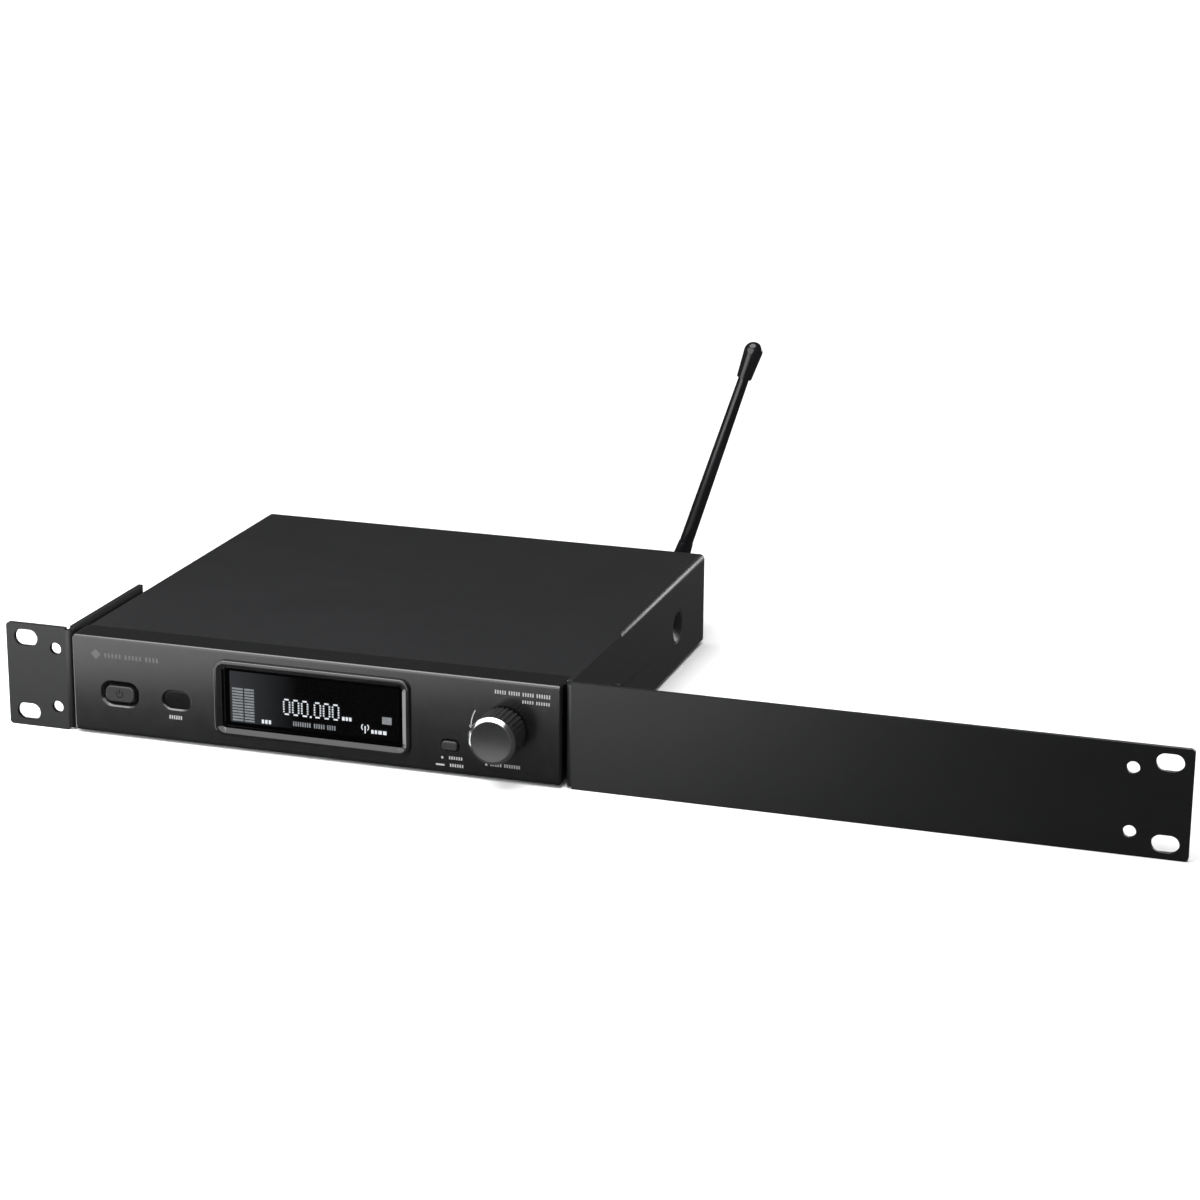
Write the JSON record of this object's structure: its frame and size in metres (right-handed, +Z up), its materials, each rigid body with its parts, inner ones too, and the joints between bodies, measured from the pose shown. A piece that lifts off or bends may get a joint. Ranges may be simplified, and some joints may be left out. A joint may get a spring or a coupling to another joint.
{
  "type": "half-rack wireless stereo transmitter unit",
  "caption": "Half-rack wireless audio unit with rack ears, display, push buttons, push-and-turn knob and a swivelling whip antenna on its rear jack.",
  "frame": {"origin": "centre of the four-slot rack pattern, on the front face of the ears", "axes": "+X to the right seen from the front, +Y towards the rear, +Z up"},
  "size_m": [0.4826, 0.2424, 0.1352],
  "materials": {
    "panel_paint": "fine-texture black powder coat",
    "front_plastic": "satin black, lightly textured",
    "bezel_gloss": "gloss black",
    "window_glass": "clear smoked window",
    "display_black": "unlit display black",
    "foam": "closed-cell foam",
    "button_plastic": "satin moulded",
    "smoked_plastic": "smoked infrared window",
    "knob_finish": "satin charcoal",
    "switch_plastic": "moulded black",
    "bright_steel": "zinc plated",
    "circuit_board": "green solder mask",
    "zinc_screws": "zinc plated",
    "black_screws": "black oxide",
    "plug_rubber": "moulded black",
    "brass": "turned",
    "heat_sink_aluminium": "extruded",
    "flat_cable": "grey flat cable",
    "jack_plastic": "moulded black",
    "port_metal": "tinned shell",
    "latch_metal": "stamped tab",
    "nickel": "nickel plated",
    "antenna_gloss": "gloss black"
  },
  "bodies": {
    "chassis": {"top_cover": "panel_paint", "chassis_tray": "panel_paint", "rear_panel": "panel_paint", "short_rack_ear": "panel_paint", "long_rack_ear": "panel_paint", "front_panel": "front_plastic", "display_bezel": "bezel_gloss", "display_window": "window_glass", "display_module": "display_black", "display_gasket": "foam", "sync_window": "smoked_plastic", "power_switch": "switch_plastic", "back_switch": "switch_plastic", "ir_module": "switch_plastic", "ribbon_sockets": "switch_plastic", "display_spacers": "switch_plastic", "processor": "switch_plastic", "voltage_regulator": "switch_plastic", "encoder_body": "bright_steel", "encoder_nut": "bright_steel", "rf_shield": "bright_steel", "front_subframe": "bright_steel", "rear_panel_tabs": "bright_steel", "ear_nuts": "bright_steel", "front_board": "circuit_board", "main_board": "circuit_board", "front_panel_screws": "zinc_screws", "front_board_screws": "zinc_screws", "main_board_screws": "zinc_screws", "ear_screws": "black_screws", "cover_screws": "black_screws", "input_screws": "black_screws", "side_plugs": "plug_rubber", "board_standoffs": "brass", "heat_sink": "heat_sink_aluminium", "ribbon_cable": "flat_cable", "dc_inlet": "jack_plastic", "cord_hook": "jack_plastic", "input_left_jack": "jack_plastic", "input_right_jack": "jack_plastic", "loop_left_jack": "jack_plastic", "loop_right_jack": "jack_plastic", "network_port": "port_metal", "loop_jack_nuts": "nickel", "antenna_jack": "nickel", "antenna_jack_nut": "nickel"},
    "power_button": {"power_button": "button_plastic", "power_button_plunger": "button_plastic"},
    "back_button": {"back_button": "button_plastic", "back_button_plunger": "button_plastic"},
    "encoder_rotor": {"encoder_rotor": "bright_steel"},
    "control_knob": {"control_knob": "knob_finish", "encoder_shaft": "bright_steel"},
    "input_left_latch": {"input_left_latch": "latch_metal"},
    "input_right_latch": {"input_right_latch": "latch_metal"},
    "antenna_ring": {"antenna_ring": "nickel"},
    "antenna": {"antenna_elbow": "antenna_gloss", "antenna_whip": "antenna_gloss", "antenna_tip": "antenna_gloss"}
  },
  "joints": [
    {"name": "power_press", "type": "slide", "parent": "chassis", "child": "power_button", "axis": [0, 1, 0], "range_m": [0, 0.0008], "stiffness_N_per_m": 900, "springref_m": -0.0006},
    {"name": "back_press", "type": "slide", "parent": "chassis", "child": "back_button", "axis": [0, 1, 0], "range_m": [0, 0.0006], "stiffness_N_per_m": 900, "springref_m": -0.0006},
    {"name": "knob_turn", "type": "hinge", "parent": "chassis", "child": "encoder_rotor", "pos_m": [-0.0247, 0, 0], "axis": [0, 1, 0], "continuous": true},
    {"name": "knob_push", "type": "slide", "parent": "encoder_rotor", "child": "control_knob", "axis": [0, 1, 0], "range_m": [0, 0.0005], "stiffness_N_per_m": 2500, "springref_m": -0.0006},
    {"name": "input_left_release", "type": "slide", "parent": "chassis", "child": "input_left_latch", "axis": [0, -1, 0], "range_m": [0, 0.0015], "stiffness_N_per_m": 500, "springref_m": -0.001},
    {"name": "input_right_release", "type": "slide", "parent": "chassis", "child": "input_right_latch", "axis": [0, -1, 0], "range_m": [0, 0.0015], "stiffness_N_per_m": 500, "springref_m": -0.001},
    {"name": "antenna_ring_twist", "type": "hinge", "parent": "chassis", "child": "antenna_ring", "pos_m": [-0.0207, 0.2088, 0], "axis": [0, 1, 0], "range_deg": [0, 90]},
    {"name": "antenna_swing", "type": "hinge", "parent": "chassis", "child": "antenna", "pos_m": [-0.0207, 0.22, 0], "axis": [0, 1, 0], "range_deg": [-108, 72]}
  ]
}
